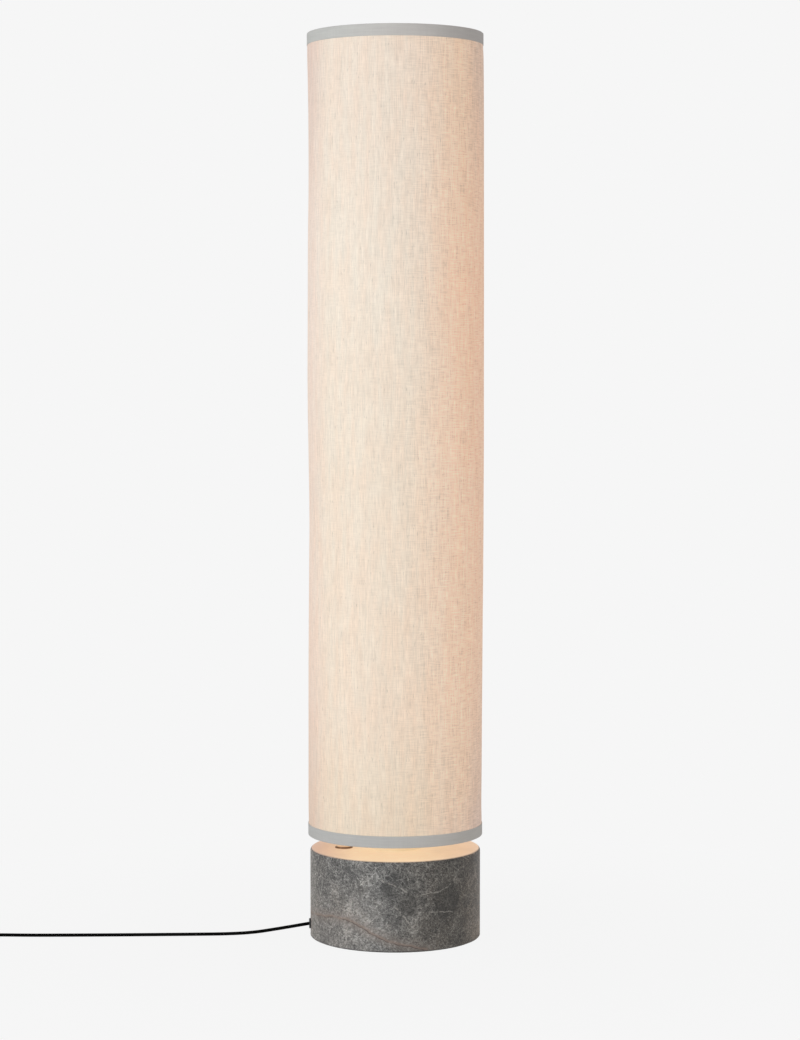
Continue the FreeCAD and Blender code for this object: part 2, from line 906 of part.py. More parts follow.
def cord_tail():
    last = coil_stations()[-1]
    leaving = [coil_end(last, cord_diameter), coil_end(last, cord_diameter + coil_exit_run)]
    return tube("cord_tail", leaving + tail_route, cord_radius)


def coil_tie():
    """A flat strap closed round the coil's bundle of turns."""
    stations = coil_stations()
    half = tie_width / 2
    tightest = min(radius for _, radius, _ in stations) - cord_radius
    inner = math.sqrt(tightest ** 2 - half ** 2) - tie_clearance
    outer = max(radius for _, radius, _ in stations) + cord_radius + tie_clearance
    high = stations[-1][2] + cord_radius + tie_clearance
    strap = box(inner - tie_thickness, outer + tie_thickness, -half, half, 0, high + tie_thickness)
    across = [edge for edge in strap.Edges if edge.BoundBox.YLength > tie_width - 1e-6]
    strap = strap.makeFillet(tie_edge_radius, across)
    strap = strap.cut(box(inner, outer, -half, half, tie_thickness, high))
    return moved(strap, coil_centre[0], coil_centre[1], turn=tie_angle)


def plug_frame(shape):
    """Puts a plug piece, modelled along +X from the cord's end, at the end of the tail."""
    (x0, y0, _), (x1, y1, z1) = tail_route[-2:]
    heading = math.degrees(math.atan2(y1 - y0, x1 - x0))
    return moved(shape, x1, y1, z1, heading)


def plug_body():
    half_width = plug_width / 2
    half_thickness = plug_thickness / 2
    body = box(relief_length, relief_length + plug_length, -half_width, half_width,
               -half_thickness, half_thickness)
    body = body.makeFillet(plug_edge_radius, body.Edges)
    sleeve_length = relief_length + plug_edge_radius
    sleeve = Part.makeCone(relief_tip_diameter / 2, relief_root_diameter / 2, sleeve_length,
                           vec(0, 0, 0), vec(1, 0, 0))
    return plug_frame(body.fuse(sleeve).removeSplitter())


def plug_blades():
    face = relief_length + plug_length
    half_width = blade_width / 2
    blades = []
    for side in (-1, 1):
        y = side * blade_spacing / 2
        blade = box(face, face + blade_length, y - blade_thickness / 2, y + blade_thickness / 2,
                    -half_width, half_width)
        end = face + blade_length - 1e-6
        tip = [edge for edge in blade.Edges if edge.BoundBox.XMin > end and edge.BoundBox.YLength > 1]
        blade = blade.makeChamfer(blade_tip_chamfer, tip)
        hole_start = vec(face + blade_length - blade_hole_place, y - blade_thickness / 2, 0)
        hole = Part.makeCylinder(blade_hole / 2, blade_thickness, hole_start, vec(0, 1, 0))
        blades.append(blade.cut(hole))
    return plug_frame(Part.makeCompound(blades))


# ---------------------------------------------------------------- the lamp
pieces = [
    foot_pad, marble_base, cover_plate, cover_screws, cover_inserts,
    cord_gland, gland_nut, mains_lead, terminal_block, supply_lead,
    led_driver, driver_screws, led_lead, dimmer_lead,
    tie_rod, rod_washer, rod_nut, column_foot, column_profile,
    led_strips, led_chips, diffuser_lower_cap, diffuser_tube, diffuser_upper_cap,
    top_stud, cap_nut, hub_nut, hub_washer, finial_nut,
    top_ring, bottom_ring, top_spider, bottom_spider,
    shade_liner, shade_fabric, top_trim, bottom_trim,
    button_barrel, barrel_nut, dimmer_button, button_clip, button_spring, dimmer_module,
    mains_cord, cord_coil, cord_tail, coil_tie, plug_body, plug_blades,
]

os.makedirs("parts", exist_ok=True)
for piece in pieces:
    piece().exportStep("parts/" + piece.__name__ + ".step")
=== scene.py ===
import math

import bpy
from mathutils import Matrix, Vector, noise


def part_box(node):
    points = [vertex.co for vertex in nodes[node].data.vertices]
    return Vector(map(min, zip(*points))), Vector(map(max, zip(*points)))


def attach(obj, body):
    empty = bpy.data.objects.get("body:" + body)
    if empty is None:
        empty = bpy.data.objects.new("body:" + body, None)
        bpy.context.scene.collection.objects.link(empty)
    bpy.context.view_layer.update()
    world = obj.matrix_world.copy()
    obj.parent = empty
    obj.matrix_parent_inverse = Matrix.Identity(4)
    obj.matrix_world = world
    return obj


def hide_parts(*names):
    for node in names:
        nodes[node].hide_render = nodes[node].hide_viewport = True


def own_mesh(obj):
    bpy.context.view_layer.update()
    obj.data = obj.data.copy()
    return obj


# A column floor lamp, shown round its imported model: the pieces that are soft or small, all finishes, and the
# floor, lights and camera of the photograph.

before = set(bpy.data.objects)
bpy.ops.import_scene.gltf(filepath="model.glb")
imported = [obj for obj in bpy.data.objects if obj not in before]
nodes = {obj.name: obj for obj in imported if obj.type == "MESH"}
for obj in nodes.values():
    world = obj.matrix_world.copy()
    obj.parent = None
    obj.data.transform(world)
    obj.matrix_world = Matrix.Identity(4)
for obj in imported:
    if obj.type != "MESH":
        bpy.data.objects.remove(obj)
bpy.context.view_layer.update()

# ---------------------------------------------------------------- sizes, in metres
BASE_RADIUS = 0.1137
BASE_TOP = 0.120
SHADE_BOTTOM = 0.138
SHADE_TOP = 1.200
FABRIC_RADIUS = 0.1157
FABRIC_THICKNESS = 0.0006
LINER_THICKNESS = 0.0012
RIBBON_WIDTH = 0.0155
RIBBON_THICKNESS = 0.0007
RING_RADIUS = 0.1118
RING_WIRE_RADIUS = 0.0020
CORD_DIAMETER = 0.0044
BUTTON_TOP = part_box("dimmer_button")[1][2]
SPRING_WIRE = 0.0010
SPRING_TURNS = 5

# ---------------------------------------------------------------- the photograph's view of the lamp
VIEW = math.radians(-6)
view_right = Vector((math.cos(VIEW), math.sin(VIEW), 0))
view_ahead = Vector((-math.sin(VIEW), math.cos(VIEW), 0))


# ---------------------------------------------------------------- node helpers
class Tree:
    """Adds nodes to a material's tree and links them."""

    def __init__(self, material):
        self.nodes = material.node_tree.nodes
        self.links = material.node_tree.links

    def put(self, kind, inputs=(), output=0, **attributes):
        """Adds a node of a kind and returns one of its outputs."""
        node = self.nodes.new("ShaderNode" + kind)
        for name, value in attributes.items():
            setattr(node, name, value)
        for key, value in dict(inputs).items():
            self.plug(node, key, value)
        return node.outputs[output]

    def plug(self, node, key, value):
        """Links a socket to a node's input, or sets the input's own value."""
        socket = node.inputs[key]
        if isinstance(value, bpy.types.NodeSocket):
            self.links.new(value, socket)
        else:
            socket.default_value = value

    def math(self, operation, a, b=0.0, clamp=False):
        return self.put("Math", {0: a, 1: b}, operation=operation, use_clamp=clamp)

    def vector(self, operation, a, b=(0, 0, 0), output=0):
        return self.put("VectorMath", {0: a, 1: b}, output=output, operation=operation)

    def scaled(self, a, factor):
        return self.put("VectorMath", {0: a, "Scale": factor}, operation="SCALE")

    def noise(self, vector, scale, detail, roughness):
        return self.put("TexNoise", {"Vector": vector, "Scale": scale, "Detail": detail,
                                     "Roughness": roughness})

    def spread(self, value, low, high, to_low=0.0, to_high=1.0, smooth=False):
        """Goes from to_low to to_high while value goes from low to high, and no further on either side."""
        kind = "SMOOTHSTEP" if smooth else "LINEAR"
        return self.put("MapRange", {"Value": value, "From Min": low, "From Max": high,
                                     "To Min": to_low, "To Max": to_high}, interpolation_type=kind)

    def mix(self, factor, a, b, blend="MIX"):
        """Colour a where factor is 0, and b, or b blended onto a, where it is 1."""
        node = self.nodes.new("ShaderNodeMix")
        node.data_type = "RGBA"
        node.blend_type = blend
        self.plug(node, 0, factor)
        self.plug(node, 6, a if isinstance(a, bpy.types.NodeSocket) else (*a, 1))
        self.plug(node, 7, b if isinstance(b, bpy.types.NodeSocket) else (*b, 1))
        return node.outputs[2]

    def multiplied(self, a, b):
        return self.mix(1.0, a, b, blend="MULTIPLY")

    def shaded(self, colour, factor):
        """A colour made darker or lighter by a number."""
        return self.multiplied(colour, self.put("CombineXYZ", {0: factor, 1: factor, 2: factor}))

    def ramp(self, value, stops):
        """The colour at value on a ramp of (place, colour) stops."""
        node = self.nodes.new("ShaderNodeValToRGB")
        self.plug(node, 0, value)
        points = node.color_ramp.elements
        for i, (place, colour) in enumerate(stops):
            point = points[i] if i < 2 else points.new(place)
            point.position = place
            point.color = (*colour, 1)
        return node.outputs[0]

    def bump(self, height, strength, distance):
        return self.put("Bump", {"Height": height, "Strength": strength, "Distance": distance})

    def place(self):
        """The surface's own place in the lamp's frame, in metres."""
        return self.put("TexCoord", output=3)

    def sideways(self, place):
        """How far a place on the lamp is towards the side that the photograph has on its right, in metres."""
        return self.vector("DOT_PRODUCT", place, tuple(view_right), output=1)


def material(name, **sockets):
    """A new material with one Principled shader; returns the material, its tree and the shader."""
    made = bpy.data.materials.new(name)
    made.use_nodes = True
    tree = Tree(made)
    shader = made.node_tree.nodes["Principled BSDF"]
    for key, value in sockets.items():
        tree.plug(shader, key.replace("_", " "), value)
    return made, tree, shader


def tint(colour, factor):
    """A plain colour times a number."""
    return tuple(c * factor for c in colour)


def dress(piece, made):
    """Gives a piece one material on every face."""
    piece.data.materials.clear()
    piece.data.materials.append(made)


def mesh_piece(name, points, faces, made):
    """A smooth piece of the lamp, with its material, on the lamp's body."""
    mesh = bpy.data.meshes.new(name)
    mesh.from_pydata(points, [], faces)
    mesh.update()
    mesh.shade_smooth()
    piece = bpy.data.objects.new(name, mesh)
    bpy.context.scene.collection.objects.link(piece)
    dress(piece, made)
    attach(piece, "lamp")
    return piece


def round_axis(radius, angle, z):
    """The point at a radius from the Z axis, at an angle from +X and a height."""
    return (radius * math.cos(angle), radius * math.sin(angle), z)


# ---------------------------------------------------------------- camera
LENS = 93.86
SENSOR_WIDTH = 36
CAMERA_DISTANCE = 3.605
CAMERA_SIDE = 0.0064
CAMERA_HEIGHT = 0.76255
CAMERA_PITCH = math.radians(86.759)

camera_data = bpy.data.cameras.new("camera")
camera_data.lens = LENS
camera_data.sensor_width = SENSOR_WIDTH
camera = bpy.data.objects.new("camera", camera_data)
camera.location = view_ahead * -CAMERA_DISTANCE + view_right * CAMERA_SIDE + Vector((0, 0, CAMERA_HEIGHT))
camera.rotation_euler = (CAMERA_PITCH, 0, VIEW)
bpy.context.scene.collection.objects.link(camera)
bpy.context.scene.camera = camera


# ---------------------------------------------------------------- cord
CORD_ROUTE = [
    (-0.1132, 0.0, 0.0188), (-0.1300, 0.0003, 0.0162), (-0.1600, 0.0018, 0.0114),
    (-0.1900, 0.0054, 0.0066), (-0.2250, 0.0116, 0.0041), (-0.2750, 0.0186, 0.0032),
    (-0.3300, 0.0254, 0.0025), (-0.3850, 0.0306, 0.0022), (-0.4400, 0.0352, 0.0022),
    (-0.4900, 0.0394, 0.0023),
]
TAIL_ROUTE = [
    (-0.6114, -0.0080, 0.0164), (-0.6146, -0.0220, 0.0124), (-0.6178, -0.0360, 0.0092),
    (-0.6200, -0.0460, 0.0085), (-0.6221, -0.0556, 0.0085),
]
STRAP_THICKNESS = 0.0008
STRAP_CLEARANCE = 0.0005
COIL_CENTRE = (-0.577, 0.0116)
COIL_ENTRY_ANGLE = 86
COIL_ENTRY_RUN = 0.040
COIL_EXIT_RUN = 0.008
COIL_OUTER_RADIUS = 0.0333
COIL_PITCH = 0.0049
COIL_LAYER_QUARTERS = [11, 11, 11, 10]
COIL_FLOOR = CORD_DIAMETER / 2 + STRAP_THICKNESS + STRAP_CLEARANCE / 2


def coil_stations():
    """The coil's quarter turns: (angle in degrees, radius, height) of the cord's centre."""
    places = []
    inward, height, direction = 0.0, 0.0, 1
    for layer, quarters in enumerate(COIL_LAYER_QUARTERS):
        if layer > 0:
            inward += direction * COIL_PITCH / 4
            places.append((inward, height + COIL_PITCH / 2))
            height += COIL_PITCH
            direction = -direction
            inward += direction * COIL_PITCH / 4
        places.append((inward, height))
        for _ in range(quarters):
            inward += direction * COIL_PITCH / 4
            places.append((inward, height))
    return [(COIL_ENTRY_ANGLE + 90 * i, COIL_OUTER_RADIUS - inward, COIL_FLOOR + height)
            for i, (inward, height) in enumerate(places)]


def coil_point(angle, radius, z, onward=0.0):
    """A point of the coil at an angle in degrees, moved onward along its tangent."""
    a = math.radians(angle)
    return (COIL_CENTRE[0] + radius * math.cos(a) - onward * math.sin(a),
            COIL_CENTRE[1] + radius * math.sin(a) + onward * math.cos(a), z)


def coil_turns():
    """Control points every 15 degrees, a little outside the line that they pull the cord to."""
    steps = 6
    outside = 2 / (1 + math.cos(math.radians(90 / steps / 2)))
    stations = coil_stations()
    points = []
    for (a0, r0, z0), (a1, r1, z1) in zip(stations, stations[1:]):
        for i in range(steps):
            t = i / steps
            radius = (r0 + (r1 - r0) * t) * outside
            points.append(coil_point(a0 + (a1 - a0) * t, radius, z0 + (z1 - z0) * t))
    points.append(coil_point(*stations[-1]))
    return points


def cord_points():
    """The whole route: along the floor, straight into the coil, round it, and straight out to the plug."""
    first, last = coil_stations()[0], coil_stations()[-1]
    arriving = [coil_point(*first, -CORD_DIAMETER - COIL_ENTRY_RUN), coil_point(*first, -CORD_DIAMETER)]
    leaving = [coil_point(*last, CORD_DIAMETER), coil_point(*last, CORD_DIAMETER + COIL_EXIT_RUN)]
    return CORD_ROUTE + arriving + coil_turns() + leaving + TAIL_ROUTE


def make_cord(made):
    """The mains cord as one smooth spline, from the gland to the plug."""
    data = bpy.data.curves.new("cord", "CURVE")
    data.dimensions = "3D"
    data.resolution_u = 8
    data.bevel_depth = CORD_DIAMETER / 2
    data.bevel_resolution = 5
    data.use_fill_caps = True
    points = cord_points()
    spline = data.splines.new("NURBS")
    spline.points.add(len(points) - 1)
    for target, point in zip(spline.points, points):
        target.co = (*point, 1)
    spline.order_u = 3
    spline.use_endpoint_u = True
    cord = bpy.data.objects.new("cord", data)
    bpy.context.scene.collection.objects.link(cord)
    dress(cord, made)
    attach(cord, "lamp")
    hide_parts("mains_cord", "cord_coil", "cord_tail")


# ---------------------------------------------------------------- plain materials
def metal(name, colour, roughness, brushed=0.0, grain=900):
    """Metal whose roughness and colour vary with fine noise, brushed along Z where asked."""
    made, tree, shader = material(name, Metallic=1.0)
    place = tree.place()
    stretch = tree.vector("MULTIPLY", place, (1, 1, 1 - brushed))
    grains = tree.noise(stretch, grain, 4, 0.6)
    cloud = tree.noise(place, 60, 3, 0.55)
    tree.plug(shader, "Base Color", tree.mix(cloud, tint(colour, 0.88), tint(colour, 1.08)))
    mixed = tree.math("ADD", tree.math("MULTIPLY", grains, 0.6), tree.math("MULTIPLY", cloud, 0.4))
    tree.plug(shader, "Roughness", tree.spread(mixed, 0.3, 0.7, roughness * 0.75, roughness * 1.3))
    tree.plug(shader, "Normal", tree.bump(grains, 0.08, 0.0002))
    return made


def plastic(name, colour, roughness, painted_glow=(0.0, 0.0, 0.0)):
    """Moulded plastic or paint with a fine grain, and a painted glow as emission for the lamp's light on it.
    """
    strength = 1.0 if any(painted_glow) else 0.0
    made, tree, shader = material(name, Emission_Color=(*painted_glow, 1), Emission_Strength=strength)
    place = tree.place()
    grains = tree.noise(place, 1400, 3, 0.55)
    cloud = tree.noise(place, 45, 3, 0.5)
    tree.plug(shader, "Base Color", tree.mix(cloud, tint(colour, 0.9), tint(colour, 1.06)))
    tree.plug(shader, "Roughness", tree.spread(cloud, 0.3, 0.7, roughness * 0.85, roughness * 1.15))
    tree.plug(shader, "Normal", tree.bump(grains, 0.15, 0.0002))
    return made


def button_brass():
    """Satin brass button: a painted glow of the lamp on its top, painted shade on its side."""
    made, tree, shader = material("button_brass", Metallic=1.0, Emission_Strength=1.0)
    place = tree.place()
    height = tree.put("SeparateXYZ", {0: place}, output=2)
    grains = tree.noise(place, 1200, 4, 0.6)
    # painted light and shade: the top face lighter and glowing, the side darker
    lit_top = tree.spread(height, BUTTON_TOP - 0.0006, BUTTON_TOP - 0.0002, smooth=True)
    tree.plug(shader, "Base Color", tree.mix(lit_top, (0.30, 0.185, 0.125), (0.62, 0.44, 0.31)))
    tree.plug(shader, "Emission Color", tree.mix(lit_top, (0.0, 0.0, 0.0), (0.36, 0.245, 0.150)))
    tree.plug(shader, "Roughness", tree.spread(grains, 0.3, 0.7, 0.26, 0.42))
    tree.plug(shader, "Normal", tree.bump(grains, 0.08, 0.0002))
    return made


def cord_jacket():
    """Dull black rubber."""
    made, tree, shader = material("cord_jacket", Specular_IOR_Level=0.05)
    place = tree.place()
    cloud = tree.noise(place, 80, 3, 0.5)
    tree.plug(shader, "Base Color", tree.mix(cloud, (0.0008, 0.0008, 0.0008), (0.0026, 0.0026, 0.0025)))
    tree.plug(shader, "Roughness", tree.spread(cloud, 0.3, 0.7, 0.75, 0.9))
    tree.plug(shader, "Normal", tree.bump(tree.noise(place, 1600, 2, 0.5), 0.1, 0.0002))
    return made


def felt():
    """Dark pressed felt."""
    made, tree, shader = material("felt", Roughness=1.0, Sheen_Weight=0.3)
    place = tree.place()
    fuzz = tree.noise(place, 700, 5, 0.7)
    tree.plug(shader, "Base Color", tree.mix(fuzz, (0.04, 0.04, 0.04), (0.13, 0.13, 0.13)))
    tree.plug(shader, "Normal", tree.bump(fuzz, 0.6, 0.0006))
    return made


def hook_strap():
    """Black hook-and-loop strap, covered in small loops."""
    made, tree, shader = material("hook_strap", Roughness=0.95, Sheen_Weight=0.4)
    place = tree.place()
    loops = tree.put("TexVoronoi", {"Vector": place, "Scale": 1500})
    tree.plug(shader, "Base Color", tree.mix(loops, (0.02, 0.02, 0.02), (0.06, 0.06, 0.06)))
    tree.plug(shader, "Normal", tree.bump(loops, 0.5, 0.0004))
    return made


def opal():
    """Opal acrylic that glows warm, as if lit from inside."""
    made, tree, shader = material("opal", Roughness=0.35, Emission_Strength=1.0)
    place = tree.place()
    cloud = tree.noise(place, 14, 2, 0.5)
    tree.plug(shader, "Base Color", tree.mix(cloud, (0.62, 0.60, 0.56), (0.68, 0.66, 0.62)))
    tree.plug(shader, "Emission Color", tree.mix(cloud, (0.62, 0.49, 0.33), (0.68, 0.54, 0.38)))
    tree.plug(shader, "Normal", tree.bump(tree.noise(place, 900, 2, 0.5), 0.05, 0.0002))
    return made


# ---------------------------------------------------------------- marble
# Veins are lines through points on the stone's side, and a blotch is (centre, radius, depth).
LONG_VEIN = [(-0.0560, 0.0990, 0.0030), (-0.0780, 0.0827, 0.0150), (-0.0960, 0.0609, 0.0225),
             (-0.1085, 0.0340, 0.0290), (-0.1133, 0.0100, 0.0325), (-0.1130, -0.0120, 0.0350),
             (-0.1058, -0.0420, 0.0385), (-0.0936, -0.0647, 0.0408), (-0.0753, -0.0851, 0.0416),
             (-0.0667, -0.0920, 0.0392), (-0.0542, -0.0999, 0.0330), (-0.0441, -0.1048, 0.0268),
             (-0.0339, -0.1086, 0.0212), (-0.0197, -0.1120, 0.0158), (-0.0054, -0.1136, 0.0118),
             (0.0104, -0.1132, 0.0085), (0.0300, -0.1097, 0.0030)]
PALE_VEINS = [
    [(0.0171, -0.1124, 0.0745), (0.0319, -0.1091, 0.0775), (0.0485, -0.1028, 0.0786),
     (0.0628, -0.0948, 0.0860)],
    [(0.0347, -0.1083, 0.0523), (0.0500, -0.1021, 0.0508), (0.0658, -0.0928, 0.0485)],
    [(-0.0120, -0.1131, 0.0621), (-0.0028, -0.1137, 0.0502), (0.0064, -0.1135, 0.0395),
     (0.0144, -0.1128, 0.0287)],
    [(-0.0290, -0.1099, 0.0950), (-0.0100, -0.1132, 0.0880), (0.0040, -0.1136, 0.0800)],
]
BLOTCHES = [((-0.0833, -0.0770, 0.0578), 0.018, 0.60), ((0.0040, -0.1137, 0.0620), 0.017, 0.75),
            ((0.0590, -0.0970, 0.0690), 0.027, 0.75), ((-0.0190, -0.1121, 0.0850), 0.015, 0.65),
            ((-0.0560, -0.0989, 0.0790), 0.008, 0.6), ((0.0300, -0.1096, 0.0300), 0.016, 0.45),
            ((0.0830, -0.0770, 0.0930), 0.014, 0.55)]
BRIGHTEST = (-0.0660, -0.0925, 0.028)
CRACK_WAYS = [(0.66, 0.20, 0.72), (-0.66, 0.20, 0.72), (0.34, 0.30, 0.89), (-0.84, 0.16, 0.50)]


def along_line(tree, place, points):
    """Distance from place to a line through points."""
    nearest = None
    for a, b in zip(points, points[1:]):
        a, b = Vector(a), Vector(b)
        run = b - a
        offset = tree.vector("SUBTRACT", place, tuple(a))
        share = tree.vector("DOT_PRODUCT", offset, tuple(run / run.length_squared), output=1)
        share = tree.math("MULTIPLY", share, 1.0, clamp=True)
        foot = tree.scaled(tuple(run), share)
        distance = tree.vector("DISTANCE", offset, foot, output=1)
        nearest = distance if nearest is None else tree.math("MINIMUM", nearest, distance)
    return nearest


def warped(tree, place, scale, amount, seed):
    """place moved about by noise, up to roughly half of amount."""
    shifted = tree.vector("ADD", place, (seed, seed * 0.7, seed * 1.3))
    wobble = tree.put("TexNoise", {"Vector": shifted, "Scale": scale, "Detail": 2.0}, output=1)
    centred = tree.vector("SUBTRACT", wobble, (0.5, 0.5, 0.5))
    return tree.vector("ADD", place, tree.scaled(centred, amount))


def drawn_out(tree, place, direction, keep):
    """place squeezed along a direction to keep of its length, so that a pattern runs that way."""
    way = Vector(direction).normalized()
    along = tree.vector("DOT_PRODUCT", place, tuple(way * (1 - keep)), output=1)
    return tree.vector("SUBTRACT", place, tree.scaled(tuple(way), along))


def crackle(tree, place, scale, width):
    """Thin lines between Voronoi cells, 1 on the line."""
    edge = tree.put("TexVoronoi", {"Vector": place, "Scale": scale}, feature="DISTANCE_TO_EDGE")
    return tree.spread(edge, 0.0, width, 1.0, 0.0)


def marble():
    """Honed grey stone: mottled, pale cracks and veins, one long brown-pink vein, painted light and shade."""
    made, tree, shader = material("marble", Emission_Strength=1.0)
    place = tree.place()
    height = tree.put("SeparateXYZ", {0: place}, output=2)
    right = tree.sideways(place)
    bent = warped(tree, place, 40, 0.008, 0.0)
    veined = warped(tree, bent, 380, 0.0010, 0.4)

    # a mottled ground with dark blotches, where the fine patterns stay calm
    cloud = tree.noise(bent, 24, 5, 0.62)
    tone = tree.ramp(cloud, [(0.34, (0.066, 0.067, 0.068)), (0.50, (0.122, 0.122, 0.120)),
                             (0.66, (0.205, 0.197, 0.187))])
    patch = tree.noise(place, 30, 3, 0.6)
    other = tree.noise(tree.vector("ADD", place, (3.1, 1.7, 0.4)), 36, 3, 0.6)
    calm = 0.0
    for centre, radius, depth in BLOTCHES:
        away = tree.vector("DISTANCE", warped(tree, place, 75, 0.020, centre[0] * 9), centre, output=1)
        inside = tree.spread(away, radius * 0.70, radius * 0.96, depth, 0.0, smooth=True)
        tone = tree.mix(inside, tone, (0.066, 0.065, 0.063))
        calm = tree.math("MAXIMUM", calm, inside)
    lively = tree.spread(calm, 0.0, 0.75, 1.0, 0.40)

    # lighter round one point low at the front left, and darker towards the top
    far = tree.spread(tree.vector("DISTANCE", place, BRIGHTEST, output=1), 0.010, 0.092, smooth=True)
    tone = tree.multiplied(tone, tree.mix(far, (1.92, 1.83, 1.76), (1.0, 1.0, 1.0)))
    tone = tree.shaded(tone, tree.spread(height, 0.020, 0.112, 1.0, 0.66))
    # painted light on the side to the left, painted shade towards the right, warmer painted bounce light at
    # the far right edge
    turn = tree.ramp(tree.spread(right, -BASE_RADIUS, BASE_RADIUS), [
        (0.0, (1.16, 1.08, 1.02)), (0.12, (0.99, 0.97, 0.96)), (0.42, (0.94, 0.95, 0.96)),
        (0.54, (0.64, 0.62, 0.60)), (0.76, (0.51, 0.46, 0.41)), (0.86, (0.46, 0.41, 0.355)),
        (0.93, (0.72, 0.60, 0.49)), (0.99, (1.08, 0.88, 0.72))])
    tone = tree.multiplied(tone, turn)

    # grit, dark flaws and clusters of pale dust
    flat = tree.vector("MULTIPLY", veined, (1.0, 1.0, 1.35))
    grit = tree.noise(flat, 230, 5, 0.85)
    tone = tree.shaded(tone, tree.spread(grit, 0.37, 0.63, 0.36, 1.70))
    flaw = tree.noise(warped(tree, place, 300, 0.003, 5.2), 360, 3, 0.75)
    tone = tree.mix(tree.spread(flaw, 0.55, 0.64, 0.0, 0.68), tone, (0.046, 0.045, 0.044))
    # the pale colour also takes part of the painted side light and shade
    pale = tree.multiplied((0.46, 0.455, 0.435), tree.mix(0.35, turn, (1.0, 1.0, 1.0)))
    dust = tree.noise(warped(tree, place, 500, 0.002, 2.1), 560, 3, 0.8)
    dusty = tree.spread(cloud, 0.42, 0.60, 0.35, 0.95)
    clusters = tree.math("MULTIPLY", tree.spread(dust, 0.53, 0.62), dusty)
    clusters = tree.math("MULTIPLY", clusters, lively)
    tone = tree.mix(clusters, tone, pale)

    # six sets of cracks, each in patches of its own, and a finer grain over them
    third = tree.noise(tree.vector("ADD", place, (0.9, 4.2, 2.6)), 44, 3, 0.6)
    ways = [drawn_out(tree, veined, way, 0.28) for way in CRACK_WAYS]
    for where, scale, width, mask, low, high, strength in (
            (ways[0], 60, 0.026, patch, 0.47, 0.56, 0.52),
            (ways[1], 62, 0.028, other, 0.45, 0.54, 0.56),
            (ways[2], 125, 0.048, third, 0.48, 0.58, 0.38),
            (ways[3], 120, 0.048, patch, 0.46, 0.56, 0.44),
            (veined, 170, 0.060, other, 0.46, 0.58, 0.42),
            (veined, 90, 0.028, third, 0.51, 0.60, 0.44)):
        lines = tree.math("MULTIPLY", crackle(tree, where, scale, width), lively)
        lines = tree.math("MULTIPLY", lines, tree.spread(mask, low, high, 0.0, strength))
        tone = tree.mix(lines, tone, pale)
    grain = tree.noise(tree.vector("ADD", flat, (2.3, 0.6, 1.9)), 290, 3, 0.8)
    tone = tree.shaded(tone, tree.spread(grain, 0.37, 0.63, 0.60, 1.44))

    # the veins that can be followed, the long one with a dark line under it
    for points in PALE_VEINS:
        vein = along_line(tree, warped(tree, place, 130, 0.006, 1.3), points)
        thin = tree.spread(vein, 0.0003, 0.0012, 0.66, 0.0)
        broken = tree.spread(tree.noise(place, 210, 3, 0.7), 0.36, 0.50)
        tone = tree.mix(tree.math("MULTIPLY", thin, broken), tone, (0.42, 0.395, 0.36))
    wandering = warped(tree, place, 90, 0.005, 3.7)
    vein = along_line(tree, wandering, LONG_VEIN)
    tone = tree.mix(tree.spread(vein, 0.0, 0.014, 0.42, 0.0, smooth=True), tone, (0.255, 0.212, 0.185))
    tone = tree.mix(tree.spread(vein, 0.0006, 0.0028, 0.62, 0.0), tone, (0.245, 0.178, 0.146))
    below = along_line(tree, tree.vector("ADD", wandering, (0.0, 0.0, 0.0014)), LONG_VEIN)
    tone = tree.mix(tree.spread(below, 0.0002, 0.0010, 0.80, 0.0), tone, (0.046, 0.034, 0.029))

    # painted shade along the bottom edge, and a plainer top
    foot = tree.spread(height, 0.0012, 0.0040, 0.35, 0.0, smooth=True)
    tone = tree.mix(foot, tone, (0.030, 0.028, 0.026))
    top = tree.spread(height, BASE_TOP - 0.0015, BASE_TOP - 0.00002, smooth=True)
    tone = tree.mix(top, tone, tree.mix(cloud, (0.20, 0.19, 0.17), (0.28, 0.265, 0.24)))
    tree.plug(shader, "Base Color", tone)
    tree.plug(shader, "Roughness", tree.spread(cloud, 0.3, 0.7, 0.52, 0.68))

    # painted light: the lamp's glow on the top as emission, weaker towards both sides, with painted shade at
    # the left end
    cracks = tree.math("MULTIPLY", crackle(tree, veined, 60, 0.06), 0.5)
    painted_glow = tree.mix(cracks, (0.705, 0.490, 0.300), (0.78, 0.57, 0.37))
    painted_glow = tree.shaded(painted_glow, tree.spread(cloud, 0.3, 0.7, 0.93, 1.05))
    shaded_left_end = tree.spread(right, -0.112, -0.040, smooth=True)
    painted_glow = tree.multiplied(painted_glow, tree.mix(shaded_left_end, (0.70, 0.60, 0.69), (1.0, 1.0, 1.0)))
    right_side = tree.spread(right, 0.020, 0.100, smooth=True)
    painted_glow = tree.multiplied(painted_glow, tree.mix(right_side, (1.0, 1.0, 1.0), (0.88, 0.83, 0.88)))
    tree.plug(shader, "Emission Color", tree.mix(top, (0.0, 0.0, 0.0), painted_glow))
    relief = tree.math("ADD", tree.math("MULTIPLY", grit, 0.5), tree.math("MULTIPLY", dust, 0.5))
    tree.plug(shader, "Normal", tree.bump(relief, 0.12, 0.0003))
    return made


# ---------------------------------------------------------------- linen and ribbon
def round_the_shade(tree):
    """Length round the shade from the front, and height, in metres."""
    split = tree.nodes.new("ShaderNodeSeparateXYZ")
    tree.links.new(tree.place(), split.inputs[0])
    x, y, z = split.outputs
    angle = tree.math("ARCTAN2", x, tree.math("MULTIPLY", y, -1.0))
    return tree.math("MULTIPLY", angle, FABRIC_RADIUS), z


def threads(tree, around, along, per_metre, length, seed, detail=2.0):
    """Noise drawn out into threads, per_metre of them across and length long."""
    stretched = tree.put("CombineXYZ", {0: tree.math("MULTIPLY", around, per_metre),
                                        1: tree.math("MULTIPLY", along, 1 / length), 2: seed})
    return tree.noise(stretched, 1.0, detail, 0.6)


def swing(tree, value, amount):
    """How far a noise departs from its middle, times an amount."""
    return tree.math("MULTIPLY", tree.math("SUBTRACT", value, 0.5), amount)


